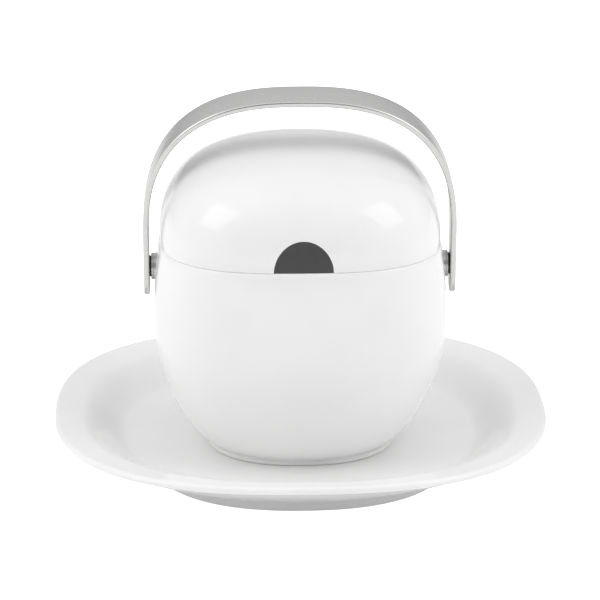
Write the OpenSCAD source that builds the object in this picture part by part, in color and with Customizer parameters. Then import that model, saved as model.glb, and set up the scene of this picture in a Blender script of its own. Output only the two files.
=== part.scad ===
// Lidded sugar bowl on a saucer, with a swing handle of flat steel strap.
// The origin is the middle of the saucer's foot, +Z is up and the spoon notch faces -Y.
// The handle's two pivots lie on one line along X.

/* [Saucer] */
// Width of the saucer over its rim
saucer_w = 151.5; // [130:0.5:182]
// Height of the top of the rim above the table
saucer_h = 18.6; // [15:0.2:24]
// Width of the foot ring
saucer_foot_w = 92; // [84:1:100]
// Height of the foot ring
saucer_foot_h = 3.3; // [2:0.1:4.5]
// Height of the flat floor that the bowl stands on
saucer_floor_z = 8.1; // [7:0.1:10]
// Width of the flat floor round the bowl's foot
floor_spare = 7; // [4:0.5:10]
// Thickness of the porcelain under the floor
saucer_floor_t = 4.4; // [3:0.1:5.5]
// Thickness of the lip
saucer_lip_t = 2.2; // [1.8:0.1:3.4]
// Width of the nearly level band inside the lip
saucer_band = 8; // [4:0.5:12]
// Width of the curve that falls from that band into the well
well_curve = 14; // [9:0.5:18]

/* [Bowl] */
// Width of the bowl at its widest
bowl_w = 89.4; // [80:0.2:110]
// How far the rim lies inside the widest place, each side
rim_inset = 1.9; // [0.5:0.1:4]
// Height from the foot to the rim
bowl_h = 64.9; // [56:0.1:80]
// Height of the widest place above the foot
belly_h = 42.4; // [34:0.2:46]
// Width of the foot ring
bowl_foot_w = 58; // [50:0.5:64]
// Height of the foot ring
bowl_foot_h = 1.8; // [1:0.1:3]
// Depth of the hollow under the bowl
bowl_foot_recess = 1.4; // [0.8:0.1:2]
// Thickness of the side wall
bowl_wall = 3.2; // [2.6:0.1:4]
// Thickness of the floor
bowl_floor_t = 4.4; // [3.6:0.1:6]

/* [Lid] */
// Height of the dome above the seam
lid_h = 29.5; // [24:0.1:36]
// Thickness of the dome
lid_wall = 3.2; // [2.4:0.1:4]
// Depth of the ring that drops into the bowl
lid_ring_depth = 5; // [3:0.1:6]
// Thickness of that ring
lid_ring_t = 2.6; // [2:0.1:3.4]
// Gap between the ring and the bowl's wall, each side
lid_ring_gap = 0.6; // [0.4:0.05:1]
// Width of the spoon notch
notch_w = 17.6; // [12:0.2:22]
// Height of the spoon notch above the seam
notch_h = 9.5; // [8:0.1:12]

/* [Handle] */
// Gap between each arm and the bowl's widest place
arm_gap = 1.2; // [0.9:0.1:2.5]
// Room for fingers between the lid and the strap
finger_room = 14; // [11:0.2:24]
// Straight part of each arm above its pivot
arm_straight = 10.4; // [8:0.2:16]
// Distance from the pivot to the end of the arm
arm_tail = 9.1; // [7:0.1:12]
// Width of the strap over the top
strap_top_w = 15; // [11:0.2:20]
// Width of the strap at the arms
strap_arm_w = 9.6; // [8:0.2:11]
// Thickness of the strap
strap_t = 1.8; // [1.4:0.1:2]
// Angle that the handle leans towards the spoon notch at rest
handle_lean = 5.7; // [0:0.1:10]

/* [Pivot] */
// Gap between the lid's ring and the hardware under it
ring_clear = 1.1; // [0.8:0.1:4]
// Diameter of the stud
stud_d = 3; // [2.6:0.1:3.6]
// Diameter of the steel boss
boss_d = 8.3; // [7:0.1:9]
// Diameter of the friction washer
washer_d = 6.5; // [5:0.1:6.8]
// Thickness of the friction washer
washer_t = 0.5; // [0.3:0.1:0.8]
// Wall of the sleeve in the porcelain
sleeve_t = 1.05; // [0.7:0.05:1.3]
// Diameter of the cap nut
nut_d = 6.8; // [6:0.1:8]
// Height of the cap nut
nut_h = 3; // [2.6:0.1:4]
// Diameter of the seal under the cap nut
seal_d = 7.6; // [7:0.1:8.6]
// Thickness of that seal
seal_t = 0.8; // [0.5:0.1:1.2]
// Gap round a part that turns
run_gap = 0.05; // [0.02:0.01:0.08]
// Gap round a part that is bedded in the porcelain
bed_gap = 0.1; // [0.05:0.05:0.3]
// Gap round the stud where it is riveted into the strap
rivet_gap = 0.02; // [0.01:0.01:0.05]

/* [Hidden] */
$fn = 64;

// Squareness of the plan: 2 is a circle, and more is squarer
rim_square = 2.8;
foot_square = 2.3;
saucer_square = 2.49;
crown_square = 2;
// Curvature of the lower wall, the dome and the handle's arch
belly_rise = 2.15;
belly_spread = 1.3;
hollow_spread = 4;
dome_rise = 2.3;
dome_spread = 2.88;
arch_square = 2.58;
well_fall = 0.6;  // share of the saucer's depth that lies in the curve below the band
well_rise = 1.3;  // how the rest rises over the well's floor

sides = 72;       // points round each shell
curve_steps = 10; // rings along each long curve
edge_r = 0.5;     // rounding of the porcelain's edges
arc_steps = 3;    // rings round such an edge
ring_edge = 0.6;  // bevel on the lid's ring
foot_edge = 0.6;  // bevel on a foot ring
bowl_foot_t = 2.6;    // width of the bowl's standing face
saucer_foot_t = 2;    // width of the saucer's standing face
widen_from = 6;       // height over the pivots where the strap starts to widen
cut_past = 1;         // how far a cutting shape runs past the face it cuts
nut_round = 0.7;      // radius of the nut's dome, as a share of its diameter
seat_spare = 0.2;     // how much deeper than the leaning wall a boss's seat goes

saucer_floor_w = bowl_foot_w + 2 * floor_spare;
bowl_rim_w = bowl_w - 2 * rim_inset;
pivot_drop = lid_ring_depth + max(seal_d, nut_d) / 2 + ring_clear;
sleeve_d = stud_d + 2 * (run_gap + sleeve_t);
handle_w = bowl_w + 2 * (arm_gap + strap_t);
handle_reach = pivot_drop + lid_h + finger_room + strap_t;

seam_z = saucer_floor_z + bowl_h;
belly_z = saucer_floor_z + belly_h;
pivot_z = seam_z - pivot_drop;
rim_r = bowl_rim_w / 2;
belly_r = bowl_w / 2;
foot_r = bowl_foot_w / 2;
lid_ring_r = rim_r - bowl_wall - lid_ring_gap;

// Where each piece of a pivot starts and ends, measured out from the middle of the bowl
strap_out_x = handle_w / 2;
strap_in_x = strap_out_x - strap_t;
washer_in_x = strap_in_x - washer_t;
wall_out_x = wall_r(pivot_z);
seat_out_x = wall_out_x - boss_d / 2 * (rim_drop() + 0.05) - seat_spare;
wall_in_x = wall_out_x - bowl_wall;
seat_in_x = wall_in_x + seal_d / 2 * (rim_drop() + 0.03) + seat_spare / 2;
seal_in_x = seat_in_x - seal_t;
nut_in_x = seal_in_x - nut_h;
stud_in_x = nut_in_x + nut_h / 4;

// Half-width of the bowl above its widest place
function wall_r(z) = belly_r - (belly_r - rim_r) * pow((z - belly_z) / (seam_z - belly_z), 2);

// How far the wall leans in at the pivots, as a slope
function rim_drop() = 2 * (belly_r - rim_r) * (pivot_z - belly_z) / pow(seam_z - belly_z, 2);

// Distance from the middle to a rounded square of half-width 1, at angle t
function rounded_square(t, n) = pow(pow(abs(cos(t)), n) + pow(abs(sin(t)), n), -1 / n);

// One ring of points, from [half-width, height, squareness]
function ring_points(ring) =
    [for (i = [0 : sides - 1])
        let (t = 360 * i / sides, r = ring[0] * rounded_square(t, ring[2]))
        [r * cos(t), r * sin(t), ring[1]]];

// A closed shell through a list of rings, whose first and last rings are points in the middle
module shell(rings) {
    last = len(rings) - 1;
    inner = [for (k = [1 : last - 1]) each ring_points(rings[k])];
    points = concat([[0, 0, rings[0][1]]], inner, [[0, 0, rings[last][1]]]);
    top = len(points) - 1;
    bands = last - 1;
    faces = concat(
        [for (i = [0 : sides - 1]) [0, 1 + i, 1 + (i + 1) % sides]],
        [for (k = [0 : bands - 2], i = [0 : sides - 1])
            let (a = 1 + k * sides + i, b = 1 + k * sides + (i + 1) % sides)
            each [[a, a + sides, b], [b, a + sides, b + sides]]],
        [for (i = [0 : sides - 1])
            [top, 1 + (bands - 1) * sides + (i + 1) % sides, 1 + (bands - 1) * sides + i]]);
    polyhedron(points, faces, convexity = 10);
}

// Rings round an edge of radius r, from angle a to angle b, about [x, z]
function edge_rings(x, z, r, a, b, n) =
    [for (k = [0 : arc_steps])
        let (t = a + (b - a) * k / arc_steps)
        [x + r * cos(t), z + r * sin(t), n]];

// Squareness of the bowl at curve angle u, where 0 is the foot and 90 the widest place
function bowl_square(u) = rim_square + (foot_square - rim_square) * cos(u);

// Rings of a wall that swells from half-width r0 at height z0 to r1 at z1
function swell_rings(r0, z0, r1, z1, spread, u0) =
    [for (k = [0 : curve_steps])
        let (u = u0 + (90 - u0) * k / curve_steps)
        [r0 + (r1 - r0) * pow(sin(u), 2 / spread),
         z1 - (z1 - z0) * pow(cos(u), 2 / belly_rise),
         bowl_square(u)]];

// Rings of a dome of half-width r and height h over height z, down from angle u1 to u0
function dome_rings(r, h, z, u0, u1) =
    [for (k = [0 : curve_steps + 4])
        let (u = u0 + (u1 - u0) * k / (curve_steps + 4))
        [r * pow(cos(u), 2 / dome_spread),
         z + h * pow(sin(u), 2 / dome_rise),
         rim_square + (crown_square - rim_square) * pow(sin(u), 4)]];

// The same list from its end to its start
function flip(list) = [for (k = [len(list) - 1 : -1 : 0]) list[k]];

// An even step from 0 to 1 with soft ends
function soft_step(t) = let (c = max(0, min(1, t))) c * c * (3 - 2 * c);

// Height of the saucer's top face at half-width r, between the flat floor and the lip
function saucer_top(r) =
    let (flat = saucer_floor_w / 2,
         edge = saucer_w / 2 - saucer_lip_t / 2,
         band = saucer_w / 2 - saucer_band,
         curve = soft_step((r - band + well_curve) / well_curve),
         slope = pow((r - flat) / (edge - flat), well_rise))
    saucer_floor_z + (saucer_h - saucer_floor_z) * (well_fall * curve + (1 - well_fall) * slope);

module saucer() {
    n = saucer_square;
    foot = saucer_foot_w / 2;
    rim = saucer_w / 2;
    flat = saucer_floor_w / 2;
    lip = saucer_lip_t / 2;
    under_z = saucer_floor_z - saucer_floor_t;
    lip_z = saucer_h - lip;
    top_rings = 16;
    color("white") shell(concat(
        [[0, under_z, foot_square]],
        [[foot - 6, under_z, foot_square], [foot - 4.2, under_z - 0.8, foot_square]],
        [[foot - saucer_foot_t - 2 * foot_edge, foot_edge, foot_square]],
        [[foot - saucer_foot_t - foot_edge, 0, foot_square], [foot - foot_edge, 0, foot_square]],
        [[foot, foot_edge, foot_square], [foot, saucer_foot_h, foot_square]],
        // underside, a soft rise to the lip
        [for (k = [1 : 6])
            let (s = k / 7, rise = pow(s, 1.15))
            [foot + (rim - lip - foot) * s,
             saucer_foot_h + (lip_z - lip - saucer_foot_h) * rise,
             foot_square + (n - foot_square) * s]],
        // lip
        [for (k = [0 : 6])
            let (t = -80 + 170 * k / 6)
            [rim - lip + lip * cos(t), lip_z + lip * sin(t), n]],
        // the band and the well
        [for (k = [1 : top_rings - 1])
            let (r = rim - lip - (rim - lip - flat) * k / top_rings)
            [r, saucer_top(r), n]],
        [[flat, saucer_floor_z, n], [0, saucer_floor_z, n]]));
}

// Everything that is cut through the bowl's wall for one pivot
module pivot_cuts() {
    along_x(seat_in_x - cut_past, seat_out_x + cut_past) circle(d = sleeve_d + 2 * bed_gap);
    along_x(seat_out_x, belly_r + 5) circle(d = boss_d + 2 * bed_gap);
    along_x(seat_in_x - 6, seat_in_x) circle(d = seal_d + 2 * bed_gap);
}

module bowl() {
    z0 = saucer_floor_z;
    under_z = z0 + bowl_foot_recess;
    in_r = belly_r - bowl_wall;
    upper = [for (k = [1 : 5])
        let (z = belly_z + (seam_z - edge_r - belly_z) * k / 5)
        [wall_r(z), z, rim_square]];
    color("white") difference() {
        shell(concat(
            [[0, under_z, foot_square], [foot_r - 4.5, under_z, foot_square]],
            [[foot_r - foot_edge - bowl_foot_t, z0, foot_square], [foot_r - foot_edge, z0, foot_square]],
            [[foot_r, z0 + foot_edge, foot_square], [foot_r - 0.5, z0 + bowl_foot_h, foot_square]],
            swell_rings(foot_r - 0.2, z0 + bowl_foot_h + 0.1, belly_r, belly_z, belly_spread, 6),
            upper,
            edge_rings(rim_r - edge_r, seam_z - edge_r, edge_r, 30, 90, rim_square),
            edge_rings(rim_r - bowl_wall + edge_r, seam_z - edge_r, edge_r, 90, 180, rim_square),
            [for (ring = flip(upper)) [ring[0] - bowl_wall, ring[1] - edge_r, ring[2]]],
            flip(swell_rings(0, z0 + bowl_floor_t, in_r, belly_z - edge_r, hollow_spread, 3)),
            [[0, z0 + bowl_floor_t, foot_square]]));
        pivot_side(1) pivot_cuts();
        pivot_side(-1) pivot_cuts();
    }
}

module lid() {
    low_z = seam_z - lid_ring_depth;
    ring_in_r = lid_ring_r - lid_ring_t;
    color("white") difference() {
        shell(concat(
            [[0, seam_z + lid_h - lid_wall, crown_square]],
            flip(dome_rings(rim_r - lid_wall, lid_h - lid_wall, seam_z, 14, 87)),
            [[ring_in_r, seam_z + 1.5, rim_square]],
            [[ring_in_r, low_z + ring_edge, rim_square], [ring_in_r + ring_edge, low_z, rim_square]],
            [[lid_ring_r - ring_edge, low_z, rim_square], [lid_ring_r, low_z + ring_edge, rim_square]],
            [[lid_ring_r, seam_z, rim_square]],
            edge_rings(rim_r - edge_r, seam_z + edge_r, edge_r, -90, -30, rim_square),
            dome_rings(rim_r, lid_h, seam_z, 6, 87),
            [[0, seam_z + lid_h, crown_square]]));
        spoon_notch();
    }
}

// The half-oval cut through the front of the lid and its ring for a spoon
module spoon_notch() {
    steps = 32;
    arch = [for (k = [0 : steps])
        let (t = 180 * k / steps)
        [notch_w / 2 * cos(t), seam_z + notch_h * sin(t)]];
    low_z = seam_z - lid_ring_depth - cut_past;
    from_y = lid_ring_r - lid_ring_t - 12;
    translate([0, -from_y, 0]) rotate([90, 0, 0]) linear_extrude(rim_r)
        polygon(concat(arch, [[-notch_w / 2, low_z], [notch_w / 2, low_z]]));
}

// A point [x, height over the pivots] on the arch's outer face: t is 0 at the arm and 90 at the top
function arch_point(t) =
    [strap_out_x * pow(cos(t), 2 / arch_square),
     arm_straight + (handle_reach - arm_straight) * pow(sin(t), 2 / arch_square)];

// Outward direction of the arch at such a point
function arch_normal(p) =
    let (b = handle_reach - arm_straight,
         g = [pow(p[0] / strap_out_x, arch_square - 1) / strap_out_x,
              pow(max(0, p[1] - arm_straight) / b, arch_square - 1) / b])
    g / norm(g);

// Front view of the strap: the arch and both arms, as an outline of even thickness
module arch_outline() {
    steps = 28;
    outer = [for (k = [0 : steps]) arch_point(90 * pow(k / steps, 1.2))];
    inner = [for (p = outer) p - strap_t * arch_normal(p)];
    half_out = concat([[strap_out_x, -arm_tail]], outer);
    half_in = concat([[strap_in_x, -arm_tail]], inner);
    left_out = [for (p = flip(half_out)) [-p[0], p[1]]];
    left_in = [for (p = half_in) [-p[0], p[1]]];
    polygon(concat(half_out, [for (k = [1 : steps + 1]) left_out[k]],
                   [for (k = [0 : steps]) left_in[k]], flip(half_in)));
}

// Side view of the strap: it widens towards the top, and each arm has a round end
module side_outline() {
    end_r = strap_arm_w / 2;
    end_z = end_r - arm_tail;
    edge = [for (k = [0 : 20])
        let (s = k / 20,
             z = widen_from + (handle_reach + cut_past - widen_from) * s,
             widen = (1 - cos(180 * min(1, s * 1.02))) / 2)
        [(strap_arm_w + (strap_top_w - strap_arm_w) * widen) / 2, z]];
    round_end = [for (k = [0 : 16])
        let (t = 180 + 180 * k / 16)
        [end_r * cos(t), end_z + end_r * sin(t)]];
    polygon(concat(round_end, edge, [for (p = flip(edge)) [-p[0], p[1]]]));
}

// Brings a shape drawn upright about the pivot line to its place, leaning with the handle
module on_pivot_line() {
    translate([0, 0, pivot_z]) rotate([handle_lean, 0, 0]) children();
}

module handle_strap() {
    color("silver") on_pivot_line() difference() {
        intersection() {
            rotate([90, 0, 0]) linear_extrude(strap_top_w + 2, center = true) arch_outline();
            rotate([90, 0, 90]) linear_extrude(handle_w + 2, center = true) side_outline();
        }
        for (s = [-1, 1])
            translate([s * (strap_in_x + strap_t / 2), 0, 0]) rotate([0, 90, 0])
                cylinder(d = stud_d + 2 * rivet_gap, h = strap_t + 2, center = true);
    }
}

// Puts a shape that is drawn about the X axis at the right pivot, or mirrors it to the left
module pivot_side(s) {
    translate([0, 0, pivot_z]) mirror([s < 0 ? 1 : 0, 0, 0]) children();
}

// Extrudes a flat shape along X, from x = a to x = b
module along_x(a, b) {
    translate([a, 0, 0]) rotate([90, 0, 90]) linear_extrude(b - a) children();
}

// Steel stud, riveted flush into the strap and turning with it
module stud(s) {
    color("silver") pivot_side(s)
        along_x(stud_in_x, strap_out_x) circle(d = stud_d);
}

// Dark friction washer that holds the handle where it is put
module washer(s) {
    color("dimgray") pivot_side(s) along_x(washer_in_x, strap_in_x)
        bore_plate(washer_d);
}

// Steel boss, let into a spot face in the porcelain
module boss(s) {
    color("silver") pivot_side(s) along_x(seat_out_x, washer_in_x)
        bore_plate(boss_d);
}

// Plastic sleeve that lines the hole in the porcelain
module sleeve(s) {
    color("gainsboro") pivot_side(s) along_x(seat_in_x, seat_out_x)
        bore_plate(sleeve_d);
}

// Soft seal between the cap nut and the inside of the wall
module seal(s) {
    color("dimgray") pivot_side(s) along_x(seal_in_x, seat_in_x)
        bore_plate(seal_d);
}

// A round plate with the running hole for the stud
module bore_plate(d) {
    difference() {
        circle(d = d);
        circle(d = stud_d + 2 * run_gap);
    }
}

// Domed cap nut on the end of the stud, inside the bowl
module nut(s) {
    dome_r = nut_d * nut_round;
    color("silver") pivot_side(s) difference() {
        intersection() {
            along_x(nut_in_x, seal_in_x) circle(d = nut_d);
            translate([nut_in_x + dome_r, 0, 0]) sphere(r = dome_r);
        }
        along_x(stud_in_x - run_gap, seal_in_x + cut_past) circle(d = stud_d + 2 * run_gap);
    }
}

saucer();
bowl();
lid();
handle_strap();
stud(-1);  // left_stud
stud(1);  // right_stud
washer(-1);  // left_washer
washer(1);  // right_washer
boss(-1);  // left_boss
boss(1);  // right_boss
sleeve(-1);  // left_sleeve
sleeve(1);  // right_sleeve
seal(-1);  // left_seal
seal(1);  // right_seal
nut(-1);  // left_nut
nut(1);  // right_nut
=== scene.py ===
import math
import bpy
import bmesh
from mathutils import Matrix, Vector


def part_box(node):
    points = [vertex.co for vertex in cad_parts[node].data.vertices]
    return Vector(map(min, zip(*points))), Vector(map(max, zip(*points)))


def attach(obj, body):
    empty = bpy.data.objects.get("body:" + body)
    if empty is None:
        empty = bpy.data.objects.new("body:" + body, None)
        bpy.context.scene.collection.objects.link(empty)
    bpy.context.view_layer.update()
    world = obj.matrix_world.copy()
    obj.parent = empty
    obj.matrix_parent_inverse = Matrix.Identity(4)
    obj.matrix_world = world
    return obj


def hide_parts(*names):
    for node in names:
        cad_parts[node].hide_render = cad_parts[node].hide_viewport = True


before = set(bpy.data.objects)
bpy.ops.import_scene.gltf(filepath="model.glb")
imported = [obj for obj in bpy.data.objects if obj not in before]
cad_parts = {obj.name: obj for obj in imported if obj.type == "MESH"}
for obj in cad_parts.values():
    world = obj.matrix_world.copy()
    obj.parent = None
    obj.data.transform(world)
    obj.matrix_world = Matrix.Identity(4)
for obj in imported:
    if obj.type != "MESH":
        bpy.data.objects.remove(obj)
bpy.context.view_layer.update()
mm = 0.001

# Heights and half-widths that the pieces share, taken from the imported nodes
saucerLow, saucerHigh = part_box("saucer")
bowlLow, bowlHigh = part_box("bowl")
lidLow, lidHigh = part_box("lid")
bossLow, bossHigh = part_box("right_boss")
studLow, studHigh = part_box("right_stud")
nutLow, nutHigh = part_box("right_nut")
washerLow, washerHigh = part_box("right_washer")
sleeveLow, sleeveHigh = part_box("right_sleeve")
sealLow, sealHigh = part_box("right_seal")
floorZ = bowlLow.z                       # the saucer's floor, where the bowl stands
seamZ = bowlHigh.z                       # the rim that the lid rests on
pivotZ = (studLow.z + studHigh.z) / 2
wallX = bowlHigh.x - 0.6 * mm            # outside of the wall beside a pivot


def roundedSquare(angle, squareness):
    c, s = abs(math.cos(angle)), abs(math.sin(angle))
    return (c ** squareness + s ** squareness) ** (-1 / squareness)


def squareUp(bm, squarenessAt):
    # turns a body of revolution into one with a rounded-square plan
    for v in bm.verts:
        r = math.hypot(v.co.x, v.co.y)
        if r > 1e-7:
            k = roundedSquare(math.atan2(v.co.y, v.co.x), squarenessAt(r, v.co.z))
            v.co.x *= k
            v.co.y *= k


def spinOutline(outline, steps, axis=(0, 0, 1), centre=(0, 0, 0), ring=False):
    # outline is a list of (radius, height), spun round the axis; a ring's outline is a closed loop
    bm = bmesh.new()
    verts = [bm.verts.new((r, 0, z)) for r, z in outline]
    pairs = list(zip(verts, verts[1:])) + ([(verts[-1], verts[0])] if ring else [])
    edges = [bm.edges.new(pair) for pair in pairs]
    bmesh.ops.spin(bm, geom=verts + edges, cent=(0, 0, 0), axis=(0, 0, 1), dvec=(0, 0, 0),
                   angle=math.tau, steps=steps, use_merge=True, use_duplicate=False)
    bmesh.ops.remove_doubles(bm, verts=bm.verts, dist=1e-6)
    if axis != (0, 0, 1):
        turn = Vector((0, 0, 1)).rotation_difference(Vector(axis)).to_matrix()
        bmesh.ops.rotate(bm, verts=bm.verts, cent=(0, 0, 0), matrix=turn)
    bmesh.ops.translate(bm, verts=bm.verts, vec=centre)
    bmesh.ops.recalc_face_normals(bm, faces=bm.faces)
    return bm


def arcPoints(x, z, r, start, end, count):
    # points on a small arc about (x, z), angles in degrees
    points = []
    for i in range(count + 1):
        t = math.radians(start + (end - start) * i / count)
        points.append((x + r * math.cos(t), z + r * math.sin(t)))
    return points


def finishPiece(bm, name, material, body, nodes, marks=(), sharpFrom=40):
    # marks is a list of (attribute name, test on a vertex) for the masks that the materials read
    mesh = bpy.data.meshes.new(name)
    bm.to_mesh(mesh)
    bm.free()
    mesh.shade_smooth()
    mesh.set_sharp_from_angle(angle=math.radians(sharpFrom))
    for markName, test in marks:
        mark = mesh.attributes.new(markName, "FLOAT", "POINT")
        for v in mesh.vertices:
            mark.data[v.index].value = 1 if test(v) else 0
    mesh.materials.append(material)
    piece = bpy.data.objects.new(name, mesh)
    bpy.context.scene.collection.objects.link(piece)
    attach(piece, body)
    if nodes:
        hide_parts(*nodes)
    return piece


def cutPiece(bm, cutters):
    # takes the cutters' shapes out of a bmesh and gives back the result
    scene = bpy.context.scene
    mesh = bpy.data.meshes.new("cutting")
    bm.to_mesh(mesh)
    bm.free()
    body = bpy.data.objects.new("cutting", mesh)
    scene.collection.objects.link(body)
    tools = []
    for tool in cutters:
        toolMesh = bpy.data.meshes.new("cutter")
        tool.to_mesh(toolMesh)
        tool.free()
        toolObject = bpy.data.objects.new("cutter", toolMesh)
        scene.collection.objects.link(toolObject)
        cut = body.modifiers.new("cut", "BOOLEAN")
        cut.operation = "DIFFERENCE"
        cut.solver = "EXACT"
        cut.object = toolObject
        tools.append(toolObject)
    bpy.context.view_layer.update()
    result = bmesh.new()
    result.from_object(body, bpy.context.evaluated_depsgraph_get())
    for thing in [body, *tools]:
        data = thing.data
        bpy.data.objects.remove(thing)
        bpy.data.meshes.remove(data)
    return result


def newMaterial(name):
    material = bpy.data.materials.new(name)
    material.use_nodes = True
    tree = material.node_tree
    tree.nodes.clear()
    output = tree.nodes.new("ShaderNodeOutputMaterial")
    shader = tree.nodes.new("ShaderNodeBsdfPrincipled")
    tree.links.new(shader.outputs["BSDF"], output.inputs["Surface"])
    return material, tree, shader


def objectCoords(tree, scale=(1, 1, 1)):
    coords = tree.nodes.new("ShaderNodeTexCoord")
    mapping = tree.nodes.new("ShaderNodeMapping")
    mapping.inputs["Scale"].default_value = scale
    tree.links.new(coords.outputs["Object"], mapping.inputs["Vector"])
    return mapping.outputs["Vector"]


def newGroup(name, inputs, outputs):
    group = bpy.data.node_groups.new(name, "ShaderNodeTree")
    for socketName, kind, value in inputs:
        socket = group.interface.new_socket(socketName, in_out="INPUT", socket_type=kind)
        if value is not None:
            socket.default_value = value
    for socketName, kind in outputs:
        group.interface.new_socket(socketName, in_out="OUTPUT", socket_type=kind)
    return group, group.nodes.new("NodeGroupInput"), group.nodes.new("NodeGroupOutput")


def addNoise(tree, vector, scale, detail=2.0):
    noise = tree.nodes.new("ShaderNodeTexNoise")
    noise.inputs["Scale"].default_value = scale
    noise.inputs["Detail"].default_value = detail
    tree.links.new(vector, noise.inputs["Vector"])
    return noise.outputs["Fac"]


def addRange(tree, value, low, high, toLow, toHigh, kind="LINEAR"):
    spread = tree.nodes.new("ShaderNodeMapRange")
    spread.interpolation_type = kind
    limits = {"From Min": low, "From Max": high, "To Min": toLow, "To Max": toHigh}
    for socketName, number in limits.items():
        spread.inputs[socketName].default_value = number
    tree.links.new(value, spread.inputs["Value"])
    return spread.outputs["Result"]


def twoTones(colour, spread):
    # a darker and a lighter version of a colour
    return [tuple(min(1, c * k) for c in colour) + (1,) for k in (1 - spread, 1 + spread)]


def addMath(tree, operation, first, second):
    node = tree.nodes.new("ShaderNodeMath")
    node.operation = operation
    for socket, value in zip(node.inputs, (first, second)):
        if isinstance(value, (int, float)):
            socket.default_value = value
        else:
            tree.links.new(value, socket)
    return node.outputs["Value"]


def addMix(tree, factor, first, second):
    mix = tree.nodes.new("ShaderNodeMix")
    mix.data_type = "RGBA"
    for socket, value in zip((mix.inputs[0], mix.inputs[6], mix.inputs[7]), (factor, first, second)):
        if isinstance(value, (int, float, tuple)):
            socket.default_value = value
        else:
            tree.links.new(value, socket)
    return mix.outputs[2]


def addMark(tree, name):
    mark = tree.nodes.new("ShaderNodeAttribute")
    mark.attribute_name = name
    return mark.outputs["Fac"]


def addBump(tree, shader, height, strength, distance):
    bump = tree.nodes.new("ShaderNodeBump")
    bump.inputs["Strength"].default_value = strength
    bump.inputs["Distance"].default_value = distance
    tree.links.new(height, bump.inputs["Height"])
    tree.links.new(bump.outputs["Normal"], shader.inputs["Normal"])


def makeWearGroup():
    # cloudy variation and fine grain, shared by every material
    inputs = [("Vector", "NodeSocketVector", None), ("Cloud Size", "NodeSocketFloat", 60.0),
              ("Grain Size", "NodeSocketFloat", 1500.0)]
    outputs = [(result, "NodeSocketFloat") for result in ("Cloud", "Grain", "Specks")]
    group, start, end = newGroup("surfaceWear", inputs, outputs)
    cloud = group.nodes.new("ShaderNodeTexNoise")
    cloud.inputs["Detail"].default_value = 2
    grain = group.nodes.new("ShaderNodeTexNoise")
    grain.inputs["Detail"].default_value = 3
    specks = group.nodes.new("ShaderNodeTexVoronoi")
    for node, size in ((cloud, "Cloud Size"), (grain, "Grain Size")):
        group.links.new(start.outputs["Vector"], node.inputs["Vector"])
        group.links.new(start.outputs[size], node.inputs["Scale"])
    group.links.new(start.outputs["Vector"], specks.inputs["Vector"])
    specks.inputs["Scale"].default_value = 260
    group.links.new(cloud.outputs["Fac"], end.inputs["Cloud"])
    group.links.new(grain.outputs["Fac"], end.inputs["Grain"])
    group.links.new(addRange(group, specks.outputs["Distance"], 0.03, 0.07, 1, 0), end.inputs["Specks"])
    return group


def useWear(tree, vector, cloudSize, grainSize):
    node = tree.nodes.new("ShaderNodeGroup")
    node.node_tree = surfaceWear
    node.inputs["Cloud Size"].default_value = cloudSize
    node.inputs["Grain Size"].default_value = grainSize
    tree.links.new(vector, node.inputs["Vector"])
    return node.outputs["Cloud"], node.outputs["Grain"], node.outputs["Specks"]


porcelainLook = {
    "glaze": (0.93, 0.931, 0.928, 1),
    "glazeThin": (0.908, 0.91, 0.907, 1),
    "speck": (0.55, 0.54, 0.52, 1),
    "speckShare": 0.06,
    "bare": (0.74, 0.725, 0.695, 1),
    "gloss": (0.09, 0.14),
    "bareRoughness": 0.62,
    "bareGrain": 0.5,
    "cloudSize": 45,
    "grainSize": 1800,
    "through": 0.016,                    # painted glow on the inner faces, standing in for the light that the thin wall lets through
    "bump": (0.12, 0.0004),
    "index": 1.52,
}


def makePorcelain():
    p = porcelainLook
    material, tree, shader = newMaterial("glazedPorcelain")
    cloud, grain, specks = useWear(tree, objectCoords(tree), p["cloudSize"], p["grainSize"])
    bare = addMark(tree, "bare")
    glaze = addMix(tree, addRange(tree, cloud, 0.35, 0.65, 0, 1), p["glaze"], p["glazeThin"])
    glaze = addMix(tree, addMath(tree, "MULTIPLY", specks, p["speckShare"]), glaze, p["speck"])
    tree.links.new(addMix(tree, bare, glaze, p["bare"]), shader.inputs["Base Color"])
    gloss = addRange(tree, cloud, 0.3, 0.7, *p["gloss"])
    rougher = addMath(tree, "MULTIPLY", bare, p["bareRoughness"] - p["gloss"][0])
    tree.links.new(addMath(tree, "ADD", gloss, rougher), shader.inputs["Roughness"])
    # painted light: the inner faces (the inside mask) glow faintly, in place of light through the thin
    # wall
    through = addMix(tree, addMark(tree, "inside"), (0, 0, 0, 1), (p["through"],) * 3 + (1,))
    tree.links.new(through, shader.inputs["Emission Color"])
    shader.inputs["Emission Strength"].default_value = 1
    shader.inputs["IOR"].default_value = p["index"]
    grit = addMath(tree, "MULTIPLY", grain, addMath(tree, "MULTIPLY", bare, p["bareGrain"]))
    addBump(tree, shader, addMath(tree, "ADD", cloud, grit), *p["bump"])
    return material


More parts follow.
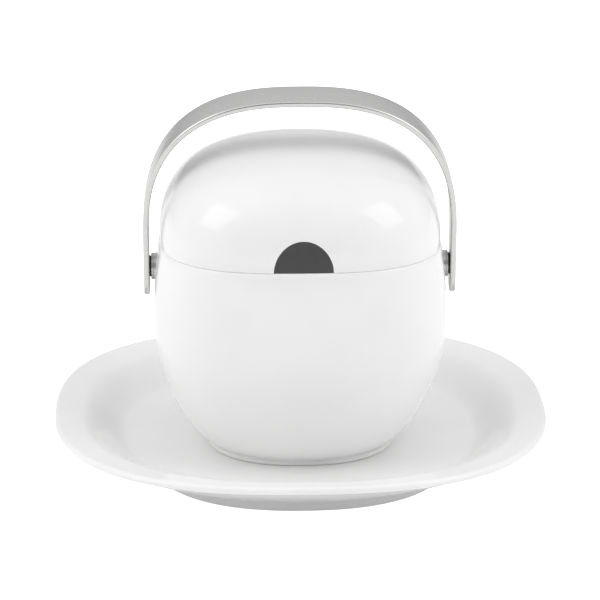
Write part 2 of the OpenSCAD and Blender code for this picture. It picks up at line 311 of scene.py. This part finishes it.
def makeBrushedSteel(name, colour, roughness, coords, grainScale, depth, spread):
    # satin steel: fine lines run along the first coordinate
    material, tree, shader = newMaterial(name)
    mapping = tree.nodes.new("ShaderNodeMapping")
    mapping.inputs["Scale"].default_value = grainScale
    tree.links.new(coords(tree), mapping.inputs["Vector"])
    lines = addNoise(tree, mapping.outputs["Vector"], 1, 4)
    cloud, grain, _ = useWear(tree, objectCoords(tree), 110, 2600)
    lineTone = addMath(tree, "MULTIPLY", lines, 0.7)
    tone = addMath(tree, "ADD", lineTone, addMath(tree, "MULTIPLY", cloud, 0.3))
    shade = addMix(tree, addRange(tree, tone, 0.35, 0.65, 0, 1), *twoTones(colour, spread))
    tree.links.new(shade, shader.inputs["Base Color"])
    shader.inputs["Metallic"].default_value = 1
    worn = addMath(tree, "ADD", lines, addMath(tree, "MULTIPLY", grain, 0.3))
    rough = addRange(tree, worn, 0.4, 0.9, roughness - 0.04, roughness + 0.06)
    tree.links.new(rough, shader.inputs["Roughness"])
    addBump(tree, shader, lines, depth, 0.00005)
    return material


def uvCoords(tree):
    coords = tree.nodes.new("ShaderNodeTexCoord")
    return coords.outputs["UV"]


def turnedCoords(tree):
    # (distance from the pivot line, place along it), for lathe marks
    split = tree.nodes.new("ShaderNodeSeparateXYZ")
    mapping = tree.nodes.new("ShaderNodeMapping")
    mapping.inputs["Location"].default_value = (0, 0, -pivotZ)
    coords = tree.nodes.new("ShaderNodeTexCoord")
    tree.links.new(coords.outputs["Object"], mapping.inputs["Vector"])
    tree.links.new(mapping.outputs["Vector"], split.inputs["Vector"])
    square = addMath(tree, "ADD", addMath(tree, "MULTIPLY", split.outputs["Y"], split.outputs["Y"]),
                     addMath(tree, "MULTIPLY", split.outputs["Z"], split.outputs["Z"]))
    join = tree.nodes.new("ShaderNodeCombineXYZ")
    tree.links.new(addMath(tree, "SQRT", square, 0), join.inputs["X"])
    tree.links.new(split.outputs["X"], join.inputs["Y"])
    return join.outputs["Vector"]


def makeSoft(name, colour, roughness, spread, depth):
    # rubber and plastic: a little cloudy, with a fine moulded grain
    material, tree, shader = newMaterial(name)
    cloud, grain, _ = useWear(tree, objectCoords(tree), 300, 5000)
    shade = addMix(tree, addRange(tree, cloud, 0.3, 0.7, 0, 1), *twoTones(colour, spread))
    tree.links.new(shade, shader.inputs["Base Color"])
    rough = addRange(tree, grain, 0.3, 0.7, roughness - 0.06, roughness + 0.06)
    tree.links.new(rough, shader.inputs["Roughness"])
    addBump(tree, shader, grain, depth, 0.00005)
    return material


surfaceWear = makeWearGroup()
porcelain = makePorcelain()
# colour, roughness, coordinates, size of the lines, depth of the lines, spread of tone
strapSteel = makeBrushedSteel("satinStrapSteel", (0.69, 0.69, 0.685), 0.27, uvCoords,
                              (40, 5000, 1), 0.05, 0.035)
bossSteel = makeBrushedSteel("turnedBossSteel", (0.64, 0.64, 0.64), 0.34, turnedCoords,
                             (9000, 9000, 1), 0.2, 0.06)
nutSteel = makeBrushedSteel("polishedNutSteel", (0.62, 0.62, 0.62), 0.14, turnedCoords,
                            (5000, 5000, 1), 0.06, 0.06)
# colour, roughness, spread of tone, depth of the grain
washerRubber = makeSoft("washerRubber", (0.035, 0.035, 0.035), 0.6, 0.25, 0.3)
sealRubber = makeSoft("sealRubber", (0.06, 0.06, 0.06), 0.55, 0.2, 0.3)
sleevePlastic = makeSoft("sleevePlastic", (0.75, 0.75, 0.72), 0.5, 0.04, 0.15)


bowlShape = {
    "halfWidth": bowlHigh.x,
    "rimHalfWidth": 42.8 * mm,
    "bellyHeight": floorZ + 42.4 * mm,
    "footHalfWidth": 29 * mm,
    "footHeight": 1.8 * mm,
    "footRecess": 1.4 * mm,
    "wall": 3.2 * mm,
    "floor": 4.4 * mm,
    "edge": 0.45 * mm,
    "rimSlope": 0.9 * mm,                # the seat slopes inward behind the rim's rounded edge
    "footRing": 3 * mm,
    "footRound": 0.5 * mm,
    "boreRun": 1 * mm,                   # how far the bore's cutter runs past the sleeve
    "spotDepth": 6 * mm,
    "bedGap": 0.1 * mm,
    "bareBelow": 0.15 * mm,
    "rise": 2.15,
    "spread": 1.3,
    "hollowSpread": 4,
    "rimSquareness": 2.8,
    "footSquareness": 2.3,
    "steps": 192,
}


def bowlWall(z):
    b = bowlShape
    s = (z - b["bellyHeight"]) / (seamZ - b["bellyHeight"])
    return b["halfWidth"] - (b["halfWidth"] - b["rimHalfWidth"]) * s * s


def bowlSquareness(r, z):
    b = bowlShape
    if z >= b["bellyHeight"]:
        return b["rimSquareness"]
    low = floorZ + b["footHeight"]
    s = min(1, (b["bellyHeight"] - z) / (b["bellyHeight"] - low)) ** (b["rise"] / 2)
    return b["rimSquareness"] + (b["footSquareness"] - b["rimSquareness"]) * s


def swell(r0, z0, r1, z1, spread, start, count):
    points = []
    for i in range(count + 1):
        u = math.radians(start + (90 - start) * i / count)
        points.append((r0 + (r1 - r0) * math.sin(u) ** (2 / spread),
                       z1 - (z1 - z0) * math.cos(u) ** (2 / bowlShape["rise"])))
    return points


def pinShape(outline, side, ring=False):
    # outline is (radius, x) on the right; side -1 mirrors it to the left pivot
    return spinOutline(outline, 64, (side, 0, 0), (0, 0, pivotZ), ring)


def pinCutter(low, high, r, side):
    return pinShape([(0, low), (r, low), (r, high), (0, high)], side)


def outwardness(v):
    # how far a vertex's normal points away from the middle axis
    r = math.hypot(v.co.x, v.co.y)
    return (v.normal.x * v.co.x + v.normal.y * v.co.y) / r if r > 1e-6 else 0


def makeBowl():
    b = bowlShape
    foot, edge, wall = b["footHalfWidth"], b["edge"], b["wall"]
    under = floorZ + b["footRecess"]
    belly, rimR = b["bellyHeight"], b["rimHalfWidth"]
    heights = [belly + (seamZ - edge - belly) * i / 12 for i in range(1, 13)]
    outline = [(0, under), (foot * 0.4, under), (foot - 5.0 * mm, under)]
    outline += [(foot - 4.0 * mm, under - 0.3 * mm), (foot - 3.4 * mm, floorZ + 0.25 * mm)]
    outline += [(foot - b["footRing"], floorZ), (foot - 0.8 * mm, floorZ)]
    outline += arcPoints(foot - b["footRound"], floorZ + b["footRound"], b["footRound"], -75, 10, 4)
    outline += [(foot - 0.45 * mm, floorZ + b["footHeight"] * 0.75)]
    outline += swell(foot - 0.2 * mm, floorZ + b["footHeight"] + 0.1 * mm,
                     b["halfWidth"], belly, b["spread"], 5, 40)
    outline += [(bowlWall(z), z) for z in heights]
    outline += arcPoints(rimR - edge, seamZ - edge, edge, 15, 90, 5)
    outline += arcPoints(rimR - wall + edge, seamZ - b["rimSlope"] - edge, edge, 70, 180, 6)
    outline += [(bowlWall(z) - wall, z - edge) for z in reversed(heights) if z < seamZ - 2 * mm]
    inner = swell(0, floorZ + b["floor"], b["halfWidth"] - wall, belly - edge, b["hollowSpread"], 0, 40)
    outline += list(reversed(inner))
    bm = spinOutline(outline, b["steps"])
    squareUp(bm, bowlSquareness)
    run, gap = b["boreRun"], b["bedGap"]
    cuts = [(sleeveLow.x - run, sleeveHigh.x + run, sleeveHigh.y + gap),
            (bossLow.x, b["halfWidth"] + 5 * mm, bossHigh.y + gap),
            (sealHigh.x - b["spotDepth"], sealHigh.x, sealHigh.y + gap)]
    bm = cutPiece(bm, [pinCutter(low, high, r, side) for side in (1, -1) for low, high, r in cuts])

    def glazeFree(v):
        return v.co.z < floorZ + b["bareBelow"]

    # inner faces of the bowl, where the porcelain gets its painted glow in place of light through the
    # wall
    def inner(v):
        return floorZ + 3 * mm < v.co.z < seamZ - 0.7 * mm and outwardness(v) < 0.15

    return finishPiece(bm, "bowlShell", porcelain, "bowl_body", ["bowl"],
                       [("bare", glazeFree), ("inside", inner)])


lidShape = {
    "height": lidHigh.z - seamZ,
    "halfWidth": 42.8 * mm,
    "wall": 3.2 * mm,
    "edge": 0.45 * mm,
    "ringOut": 39.0 * mm,
    "ringThick": 2.6 * mm,
    "rise": 2.3,
    "spread": 2.88,
    "rimSquareness": 2.8,
    "crownSquareness": 2.0,
    "notchWidth": 17.6 * mm,
    "notchHeight": 9.5 * mm,
    "notchSteps": 48,
    "ringRound": 0.8 * mm,
    "bareBelow": 0.2 * mm,
    "steps": 192,
}


def lidSquareness(r, z):
    d = lidShape
    s = min(1, max(0, (z - seamZ) / d["height"])) ** (d["rise"] / 2)
    return d["rimSquareness"] + (d["crownSquareness"] - d["rimSquareness"]) * s ** 4


def dome(r, h, start, end, count):
    d = lidShape
    points = []
    for i in range(count + 1):
        u = math.radians(start + (end - start) * i / count)
        points.append((r * math.cos(u) ** (2 / d["spread"]), seamZ + h * math.sin(u) ** (2 / d["rise"])))
    return points


def makeLid():
    d = lidShape
    edge, wall, ringOut, corner = d["edge"], d["wall"], d["ringOut"], d["ringRound"]
    ringIn = ringOut - d["ringThick"]
    low = lidLow.z
    outline = [(0, seamZ + d["height"] - wall)]
    outline += list(reversed(dome(d["halfWidth"] - wall, d["height"] - wall, 14, 89, 40)))
    outline += [(ringIn, seamZ + 1.5 * mm), (ringIn, low + 2 * mm)]
    outline += arcPoints(ringIn + corner, low + corner, corner, 180, 270, 4)
    outline += arcPoints(ringOut - corner, low + corner, corner, 270, 360, 4)
    outline += [(ringOut, seamZ - 1 * mm), (ringOut, seamZ), (ringOut + 0.3 * mm, seamZ)]
    outline += arcPoints(d["halfWidth"] - edge, seamZ + edge, edge, 270, 345, 5)
    outline += dome(d["halfWidth"], d["height"], 5, 89, 56)
    outline += [(0, seamZ + d["height"])]
    bm = spinOutline(outline, d["steps"])
    squareUp(bm, lidSquareness)
    cutter = bmesh.new()
    half, below = d["notchWidth"] / 2, lidLow.z - 3 * mm
    turns = [math.pi * i / d["notchSteps"] for i in range(d["notchSteps"] + 1)]
    arch = [(half * math.cos(t), seamZ + d["notchHeight"] * math.sin(t)) for t in turns]
    arch += [(-half, below), (half, below)]
    front = cutter.faces.new([cutter.verts.new((x, -20 * mm, z)) for x, z in arch])
    grown = bmesh.ops.extrude_face_region(cutter, geom=[front])
    moved = [g for g in grown["geom"] if isinstance(g, bmesh.types.BMVert)]
    bmesh.ops.translate(cutter, verts=moved, vec=(0, -40 * mm, 0))
    bmesh.ops.recalc_face_normals(cutter, faces=cutter.faces)
    bm = cutPiece(bm, [cutter])

    def glazeFree(v):
        return v.co.z < lidLow.z + d["bareBelow"]

    # inner faces of the lid, where the porcelain gets its painted glow in place of light through the
    # wall
    def inner(v):
        turnedIn = outwardness(v) < 0.1 and v.normal.z < 0.1
        return turnedIn and v.co.z > seamZ - 4 * mm and math.hypot(v.co.x, v.co.y) < 40 * mm

    return finishPiece(bm, "lidShell", porcelain, "lid_body", ["lid"],
                       [("bare", glazeFree), ("inside", inner)])


saucerShape = {
    "halfWidth": saucerHigh.x,
    "height": saucerHigh.z,
    "footHalfWidth": 46 * mm,
    "footHeight": 3.3 * mm,
    "floorHalfWidth": 36 * mm,
    "floorThick": 4.4 * mm,
    "lip": 2.2 * mm,
    "band": 8 * mm,
    "wellCurve": 14 * mm,
    "wellFall": 0.6,
    "wellRise": 1.3,
    "squareness": 2.49,
    "footSquareness": 2.3,
    "underRise": 1.15,
    "underSteps": 24,
    "topSteps": 48,
    "bareBelow": 0.25 * mm,
    "steps": 192,
}


def saucerSquareness(r, z):
    s = saucerShape
    t = min(1, max(0, (r - s["footHalfWidth"]) / (s["halfWidth"] - s["footHalfWidth"])))
    return s["footSquareness"] + (s["squareness"] - s["footSquareness"]) * t


def saucerTop(r):
    # height of the top face: a nearly level band inside the lip, then a curve down into the well
    s = saucerShape
    flat, edge = s["floorHalfWidth"], s["halfWidth"] - s["lip"] / 2
    t = min(1, max(0, (r - s["halfWidth"] + s["band"] + s["wellCurve"]) / s["wellCurve"]))
    slope = ((r - flat) / (edge - flat)) ** s["wellRise"]
    share = s["wellFall"] * t * t * (3 - 2 * t) + (1 - s["wellFall"]) * slope
    return floorZ + (s["height"] - floorZ) * share


def makeSaucer():
    s = saucerShape
    foot, rim, flat, lip = s["footHalfWidth"], s["halfWidth"], s["floorHalfWidth"], s["lip"] / 2
    under = floorZ - s["floorThick"]
    lipZ = s["height"] - lip
    outline = [(0, under), (foot * 0.5, under), (foot - 6 * mm, under)]
    outline += [(foot - 4.6 * mm, under - 0.5 * mm), (foot - 3.6 * mm, 0.7 * mm)]
    outline += arcPoints(foot - 2.9 * mm, 0.5 * mm, 0.5 * mm, 200, 270, 3)
    outline += arcPoints(foot - 0.7 * mm, 0.7 * mm, 0.7 * mm, 270, 360, 5)
    outline += [(foot, s["footHeight"] * 0.6), (foot + 0.1 * mm, s["footHeight"])]
    for i in range(1, s["underSteps"]):
        t = i / s["underSteps"]
        z = s["footHeight"] + (lipZ - lip - s["footHeight"]) * t ** s["underRise"]
        outline.append((foot + (rim - lip - foot) * t, z))
    outline += arcPoints(rim - lip, lipZ, lip, -75, 90, 12)
    for i in range(1, s["topSteps"]):
        r = rim - lip - (rim - lip - flat) * i / s["topSteps"]
        outline.append((r, saucerTop(r)))
    outline += [(flat, floorZ), (flat * 0.6, floorZ), (0, floorZ)]
    bm = spinOutline(outline, s["steps"])
    squareUp(bm, saucerSquareness)
    return finishPiece(bm, "saucerShell", porcelain, "saucer_body", ["saucer"],
                       [("bare", lambda v: v.co.z < s["bareBelow"])])


strapShape = {
    "halfWidth": 47.7 * mm,
    "reach": 55.2 * mm,
    "straight": 10.4 * mm,
    "tail": 9.1 * mm,
    "topWidth": 15 * mm,
    "armWidth": 9.6 * mm,
    "thick": 1.8 * mm,
    "edge": 0.62 * mm,
    "squareness": 2.58,
    "lean": 5.7,
    "tip": 0.02 * mm,                    # least half-width, at the very end of an arm
    "endSteps": 12,
    "archSteps": 72,
    "archSpread": 1.2,
}


def strapWidth(z):
    # width of the strap at height z above the pivots
    s = strapShape
    endR = s["armWidth"] / 2
    endZ = endR - s["tail"]
    if z < endZ:
        return 2 * math.sqrt(max(0, endR ** 2 - (endZ - z) ** 2))
    t = min(1, max(0, (z - 6 * mm) / (s["reach"] - 5 * mm)) * 1.02)
    return s["armWidth"] + (s["topWidth"] - s["armWidth"]) * (1 - math.cos(math.pi * t)) / 2


def strapPath():
    # (x, z, outward x, outward z) along the outer face, from the right arm's end to the left arm's
    s = strapShape
    b = s["reach"] - s["straight"]
    endR = s["armWidth"] / 2
    endZ = endR - s["tail"]
    half = []
    steps, archSteps = s["endSteps"], s["archSteps"]
    for i in range(1, steps + 1):               # the round end
        t = math.pi / 2 * i / steps
        half.append((s["halfWidth"], endZ - endR * math.cos(t), 1, 0))
    for i in range(1, steps + 1):               # the straight arm
        half.append((s["halfWidth"], endZ + (s["straight"] - endZ) * i / steps, 1, 0))
    for i in range(1, archSteps + 1):           # one side of the arch
        t = math.pi / 2 * (i / archSteps) ** s["archSpread"]
        x = s["halfWidth"] * math.cos(t) ** (2 / s["squareness"]) if i < archSteps else 0
        z = s["straight"] + b * math.sin(t) ** (2 / s["squareness"])
        gx = (x / s["halfWidth"]) ** (s["squareness"] - 1) / s["halfWidth"]
        gz = ((z - s["straight"]) / b) ** (s["squareness"] - 1) / b
        n = math.hypot(gx, gz)
        half.append((x, z, gx / n, gz / n))
    return half + [(-x, z, -nx, nz) for x, z, nx, nz in reversed(half[:-1])]


def strapSection():
    # corners of the section as (side, distance in from that side, depth below the outer face)
    edge, thick = strapShape["edge"], strapShape["thick"]
    quarter = [(edge - edge * math.sin(math.radians(a)), edge - edge * math.cos(math.radians(a)))
               for a in range(0, 91, 18)]
    corners = [(-1, inset, depth) for inset, depth in quarter]
    corners += [(-1, inset, thick - depth) for inset, depth in reversed(quarter)]
    return corners + [(1, inset, depth) for _, inset, depth in reversed(corners)]


def makeStrap():
    corners = strapSection()
    bm = bmesh.new()
    cornerOf = bm.verts.layers.int.new("corner")

    def place(verts, station):
        x, z, nx, nz = station
        half = strapWidth(z) / 2
        for v in verts:
            side, inset, depth = corners[v[cornerOf]]
            v.co = (x - nx * depth, side * max(strapShape["tip"], half - inset), z - nz * depth)

    path = strapPath()
    ring = [bm.verts.new((0, 0, 0)) for _ in corners]
    for i, v in enumerate(ring):
        v[cornerOf] = i
    place(ring, path[0])
    cap = bm.faces.new(ring)
    for station in path[1:]:
        grown = bmesh.ops.extrude_face_region(bm, geom=[cap])["geom"]
        cap = next(g for g in grown if isinstance(g, bmesh.types.BMFace))
        place([g for g in grown if isinstance(g, bmesh.types.BMVert)], station)
    bmesh.ops.recalc_face_normals(bm, faces=bm.faces)
    holeR = studHigh.y + 0.02 * mm
    low, high = strapShape["halfWidth"] - 4 * mm, strapShape["halfWidth"] + 2 * mm
    holes = [pinCutter(low, high, holeR, side) for side in (1, -1)]
    for hole in holes:
        bmesh.ops.translate(hole, verts=hole.verts, vec=(0, 0, -pivotZ))
    bm = cutPiece(bm, holes)

    # the grain follows the strap: u is the length along it and v the way across, in metres
    lengths = [0]
    for here, there in zip(path, path[1:]):
        lengths.append(lengths[-1] + math.hypot(there[0] - here[0], there[1] - here[1]))
    grain = bm.loops.layers.uv.new("grain")
    for v in bm.verts:
        apart = [(x - v.co.x) ** 2 + (z - v.co.z) ** 2 for x, z, _, _ in path]
        near = apart.index(min(apart))
        for loop in v.link_loops:
            loop[grain].uv = (lengths[near], v.co.y)
    lean = Matrix.Rotation(math.radians(strapShape["lean"]), 3, "X")
    bmesh.ops.rotate(bm, verts=bm.verts, cent=(0, 0, 0), matrix=lean)
    bmesh.ops.translate(bm, verts=bm.verts, vec=(0, 0, pivotZ))
    return finishPiece(bm, "strap", strapSteel, "handle_body", ["handle_strap"])


pivotShape = {
    "bossChamfer": 0.22 * mm,
    "grooveDepth": 0.18 * mm,
    "rivetDome": 0.12 * mm,
    "washerRound": 0.1 * mm,
    "sealRound": 0.2 * mm,
    "runGap": 0.05 * mm,
    "turnGap": 0.03 * mm,
    "grooveHalf": 0.16 * mm,
    "studEdge": 0.2 * mm,
    "studCrown": 0.25 * mm,
    "crownRise": 0.13 * mm,
    "nutDome": 1.1 * mm,
    "nutChamfer": (0.15 * mm, 0.5 * mm),
}


def bandOutline(low, high, inner, outer, edge):
    # section of a ring with its outer corners rounded
    outline = [(inner, low)] + arcPoints(outer - edge, low + edge, edge, -90, 0, 4)
    outline += arcPoints(outer - edge, high - edge, edge, 0, 90, 4)
    return outline + [(inner, high)]


def makePivot(side, prefix):
    p = pivotShape
    bore = studHigh.y + p["runGap"]

    def add(name, outline, material, body, ring=True):
        finishPiece(pinShape(outline, side, ring), prefix + name, material, body,
                    ["%s_%s" % (prefix, name.lower())], sharpFrom=35)

    r, c = bossHigh.y, p["bossChamfer"]
    mid = bossHigh.x - 0.5 * (bossHigh.x - wallX)
    groove = p["grooveHalf"]
    boss = [(bore, bossLow.x), (r, bossLow.x), (r, mid - groove), (r - p["grooveDepth"], mid),
            (r, mid + groove), (r, bossHigh.x - c), (r - c, bossHigh.x), (bore, bossHigh.x)]
    add("Boss", boss, bossSteel, "bowl_body")
    add("Washer", bandOutline(washerLow.x, washerHigh.x, bore, washerHigh.y, p["washerRound"]),
        washerRubber, "bowl_body")
    add("Sleeve", bandOutline(sleeveLow.x, sleeveHigh.x, bore, sleeveHigh.y, p["washerRound"]),
        sleevePlastic, "bowl_body")
    add("Seal", bandOutline(sealLow.x, sealHigh.x, bore, sealHigh.y, p["sealRound"]),
        sealRubber, "bowl_body")
    r, end = studHigh.y, studHigh.x
    cut, crown, rise = p["studEdge"], end - p["studCrown"], p["crownRise"] + p["rivetDome"]
    stud = [(0, studLow.x), (r - cut, studLow.x), (r, studLow.x + cut), (r, crown)]
    stud += [(r * math.cos(t), crown + rise * math.sin(t))
             for t in [math.pi / 2 * i / 8 for i in range(1, 8)]] + [(0, end)]
    add("Stud", stud, strapSteel, "handle_body", False)
    r, low, high = nutHigh.y, nutLow.x, nutHigh.x - p["turnGap"]
    inside = studLow.x - p["runGap"]
    nut = [(0, low)] + [(r * math.sin(t), low + p["nutDome"] * (1 - math.cos(t)))
                        for t in [math.pi / 2 * i / 10 for i in range(1, 11)]]
    across, along = p["nutChamfer"]
    nut += [(r, high - along), (r - across, high), (bore, high), (bore, inside), (0, inside)]
    add("Nut", nut, nutSteel, "handle_body", False)


studioLight = {
    "base": 0.4,
    # (direction, cosine where it starts, cosine where it is full, how much it adds)
    "lobes": [((0, -1, 0.35), 0.4, 0.97, -0.36),
              ((0, -0.5, 1), 0.75, 1.0, 0.45),
              ((-1, -0.3, 0.3), 0.3, 1.0, 0.68),
              ((1, -0.3, 0.3), 0.3, 1.0, 0.66),
              ((0, 0.6, 1), 0.3, 1.0, 0.32)],
    # (name, place, width, height, watts)
    "boxes": [("leftBox", (-1.15, -0.45, 1.15), 0.9, 0.9, 3.7),
              ("rightBox", (1.15, -0.45, 1.15), 0.9, 0.9, 3.7)],
    "floorGlow": 0.13,
    "aim": (0, 0, 0.05),
    "floorTone": (0.9, 0.9, 0.9, 1),
    "floorSize": 4,
    "floorDrop": 0.05 * mm,
}


def makeFloor():
    mesh = bpy.data.meshes.new("studioFloor")
    bm = bmesh.new()
    bmesh.ops.create_grid(bm, x_segments=1, y_segments=1, size=studioLight["floorSize"])
    bmesh.ops.translate(bm, verts=bm.verts, vec=(0, 0, -studioLight["floorDrop"]))
    bm.to_mesh(mesh)
    bm.free()
    floor = bpy.data.objects.new("studioFloor", mesh)
    bpy.context.scene.collection.objects.link(floor)
    material, tree, shader = newMaterial("paleFloor")
    cloud, _, _ = useWear(tree, objectCoords(tree), 3, 400)
    dull = tuple(c * 0.97 for c in studioLight["floorTone"][:3]) + (1,)
    tree.links.new(addMix(tree, cloud, studioLight["floorTone"], dull), shader.inputs["Base Color"])
    shader.inputs["Roughness"].default_value = 0.9
    # the camera sees the floor as the plain white of the backdrop
    seen = tree.nodes.new("ShaderNodeLightPath")
    shader.inputs["Emission Strength"].default_value = 1
    glow = studioLight["floorGlow"]
    white = addMix(tree, seen.outputs["Is Camera Ray"], (glow, glow, glow, 1), (1, 1, 1, 1))
    tree.links.new(white, shader.inputs["Emission Color"])
    mesh.materials.append(material)


def makeWorld():
    world = bpy.data.worlds.new("studio")
    bpy.context.scene.world = world
    world.use_nodes = True
    tree = world.node_tree
    back = tree.nodes["Background"]
    coords = tree.nodes.new("ShaderNodeTexCoord")
    level = studioLight["base"]
    for towards, low, high, amount in studioLight["lobes"]:
        facing = tree.nodes.new("ShaderNodeVectorMath")
        facing.operation = "DOT_PRODUCT"
        facing.inputs[1].default_value = Vector(towards).normalized()
        tree.links.new(coords.outputs["Generated"], facing.inputs[0])
        glow = addRange(tree, facing.outputs["Value"], low, high, 0, amount, "SMOOTHSTEP")
        level = addMath(tree, "ADD", glow, level)
    seen = tree.nodes.new("ShaderNodeLightPath")
    level = addMath(tree, "MAXIMUM", level, seen.outputs["Is Camera Ray"])
    back.inputs["Color"].default_value = (1, 1, 1, 1)
    tree.links.new(level, back.inputs["Strength"])


def makeLights():
    for name, place, width, height, watts in studioLight["boxes"]:
        light = bpy.data.lights.new(name, "AREA")
        light.shape = "RECTANGLE"
        light.size, light.size_y = width, height
        light.energy = watts
        lamp = bpy.data.objects.new(name, light)
        bpy.context.scene.collection.objects.link(lamp)
        lamp.location = place
        lamp.rotation_mode = "QUATERNION"
        lamp.rotation_quaternion = (Vector(studioLight["aim"]) - Vector(place)).to_track_quat("-Z", "Y")


def makeCamera():
    view = {"azimuth": -1.7, "elevation": 17.42, "roll": -0.1, "distance": 0.9225,
            "aim": (0.0001, 0, 0.05166), "lens": 180}
    camData = bpy.data.cameras.new("camera")
    camData.lens = view["lens"]
    camData.sensor_width = 36
    cam = bpy.data.objects.new("camera", camData)
    bpy.context.scene.collection.objects.link(cam)
    a, e = math.radians(view["azimuth"]), math.radians(view["elevation"])
    back = Vector((math.sin(a) * math.cos(e), -math.cos(a) * math.cos(e), math.sin(e)))
    cam.location = Vector(view["aim"]) + back * view["distance"]
    cam.rotation_mode = "QUATERNION"
    turn = Matrix.Rotation(math.radians(view["roll"]), 3, "Z").to_quaternion()
    cam.rotation_quaternion = (-back).to_track_quat("-Z", "Y") @ turn
    camData.clip_start, camData.clip_end = 0.01, 50
    bpy.context.scene.camera = cam
    bpy.context.scene.view_settings.view_transform = "Standard"


print("saucer")
makeSaucer()
print("bowl")
makeBowl()
print("lid")
makeLid()
print("strap")
makeStrap()
print("pivots")
makePivot(1, "right")
makePivot(-1, "left")
print("floor, light and camera")
makeFloor()
makeWorld()
makeLights()
makeCamera()
